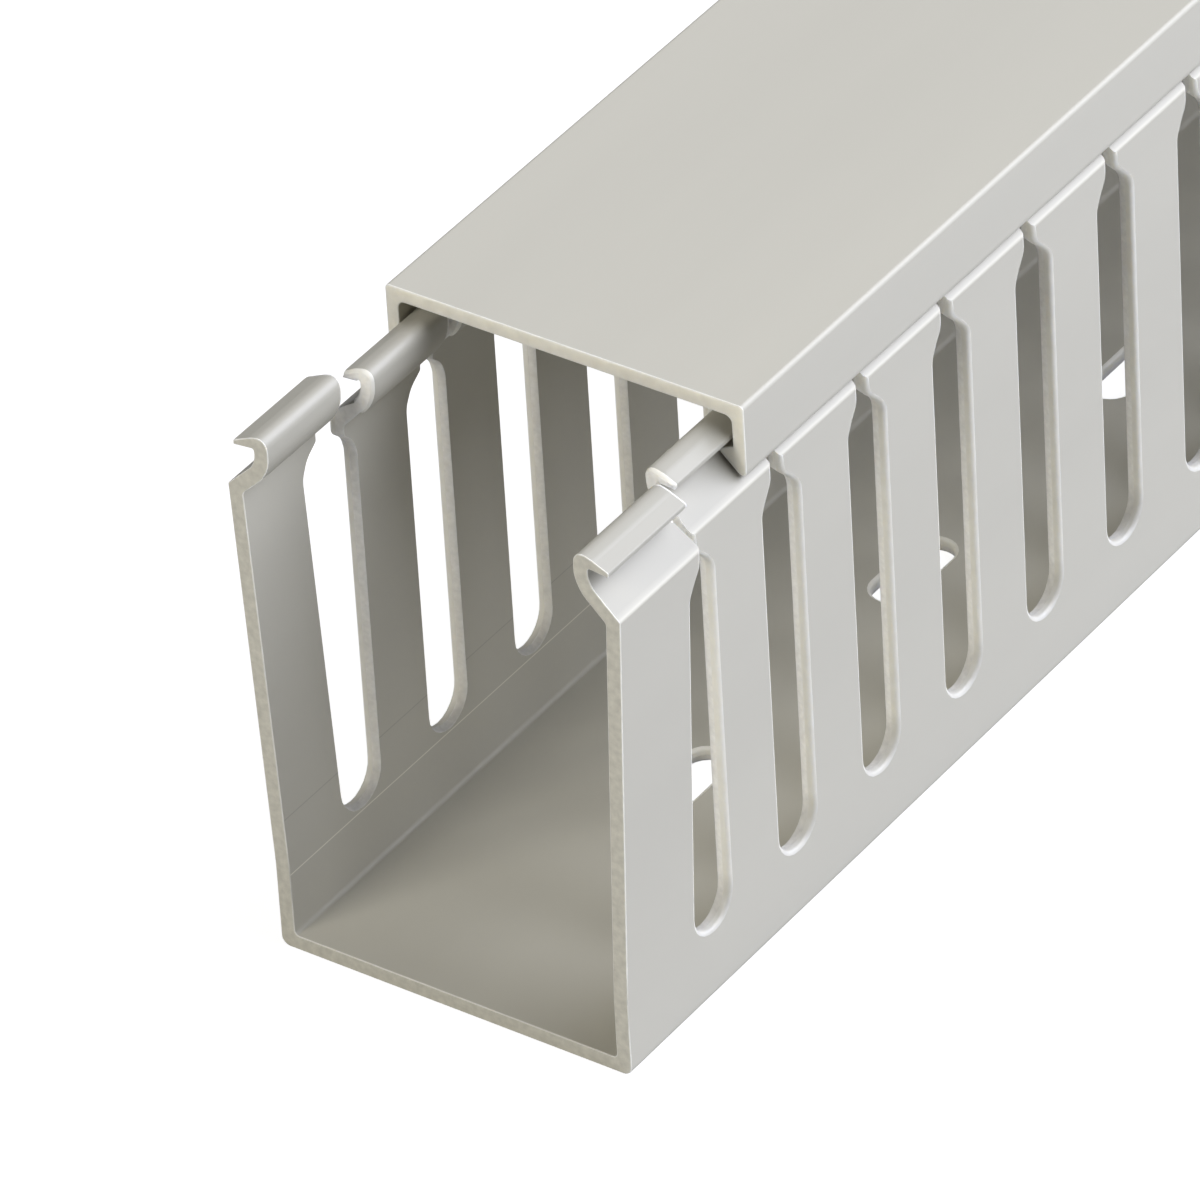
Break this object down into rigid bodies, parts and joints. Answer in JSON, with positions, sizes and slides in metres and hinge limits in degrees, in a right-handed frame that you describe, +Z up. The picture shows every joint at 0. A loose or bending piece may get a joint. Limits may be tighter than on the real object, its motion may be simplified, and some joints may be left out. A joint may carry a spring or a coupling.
{
  "type": "slotted wire duct",
  "caption": "Straight open-slot wiring duct: a U-channel with slotted, hooked side walls, oblong floor holes and a clip-on cover that slides along it.",
  "frame": {"origin": "middle of the channel's underside, halfway across and halfway along the channel", "axes": "+X across the duct, +Y along the duct from the near sawn end to the far end, +Z up from the floor to the cover"},
  "size_m": [0.0546, 0.5293, 0.0772],
  "materials": {
    "channel_pvc": "light warm grey rigid PVC, satin extruded skin, sawn and punched edges paler",
    "cover_pvc": "light warm grey rigid PVC, smooth satin extruded skin"
  },
  "bodies": {
    "base": {"base_channel": "channel_pvc"},
    "lid": {"cover": "cover_pvc"}
  },
  "joints": [
    {"name": "cover_slide", "type": "slide", "parent": "base", "child": "lid", "axis": [0, 1, 0], "range_m": [-0.0122, 0.471]}
  ]
}
